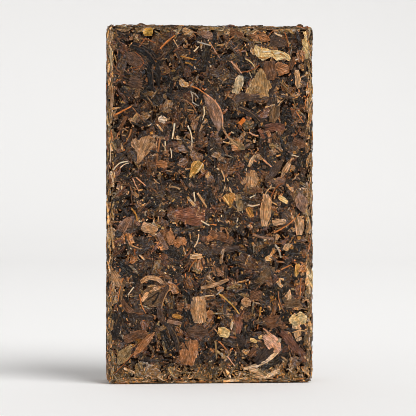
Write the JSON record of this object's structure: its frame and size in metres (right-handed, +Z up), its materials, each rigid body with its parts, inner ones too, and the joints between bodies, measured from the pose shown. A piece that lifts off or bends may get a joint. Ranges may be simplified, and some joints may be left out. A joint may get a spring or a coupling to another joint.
{
  "type": "white tea brick",
  "caption": "Pressed tea leaves and stems in a flat rectangular brick with softly rounded edges, standing on its short edge.",
  "frame": {"origin": "Middle of the foot, on the surface that the brick stands on.", "axes": "+Z up along the brick's length, +X along its width, the shown broad side facing -Y."},
  "size_m": [0.087, 0.024, 0.1508],
  "materials": {
    "pressed_tea": "matte dried tea leaves, dark brown with tan, cream, olive and reddish pieces"
  },
  "bodies": {
    "root": {"tea_brick": "pressed_tea"}
  },
  "joints": []
}
